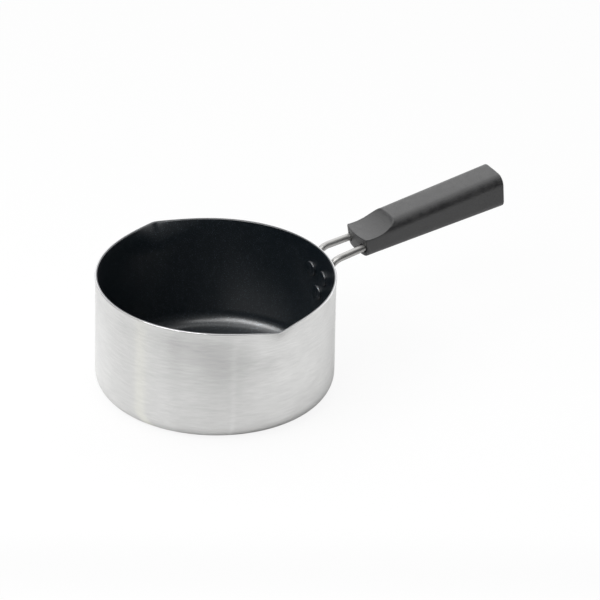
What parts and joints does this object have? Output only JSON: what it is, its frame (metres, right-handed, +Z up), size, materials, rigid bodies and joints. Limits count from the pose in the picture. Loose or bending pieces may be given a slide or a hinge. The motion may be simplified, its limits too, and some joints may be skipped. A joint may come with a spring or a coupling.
{
  "type": "saucepan",
  "caption": "Straight-sided saucepan with pouring lips, black non-stick inside a brushed aluminium body, and a dark grip carried on a bent steel rod riveted to the wall.",
  "frame": {"origin": "centre of the flat base, on its underside", "axes": "+Z up; +X along the handle, away from the pan; the pouring lips point along +Y and -Y"},
  "size_m": [0.3385, 0.201, 0.1264],
  "materials": {
    "body_metal": "fine brushed lines round the wall",
    "lining": "satin black non-stick coating with fine speckle",
    "rod_steel": "polished stainless steel",
    "rivets": "black coated head, bare metal tail",
    "grip": "matt black moulded phenolic resin",
    "screws": "zinc plated"
  },
  "bodies": {
    "root": {"pan_body": "body_metal", "nonstick_lining": "lining", "handle_rod": "rod_steel", "rivet_upper_left": "rivets", "rivet_upper_right": "rivets", "rivet_lower": "rivets", "grip": "grip", "grip_screw_left": "screws", "grip_screw_right": "screws"}
  },
  "joints": []
}
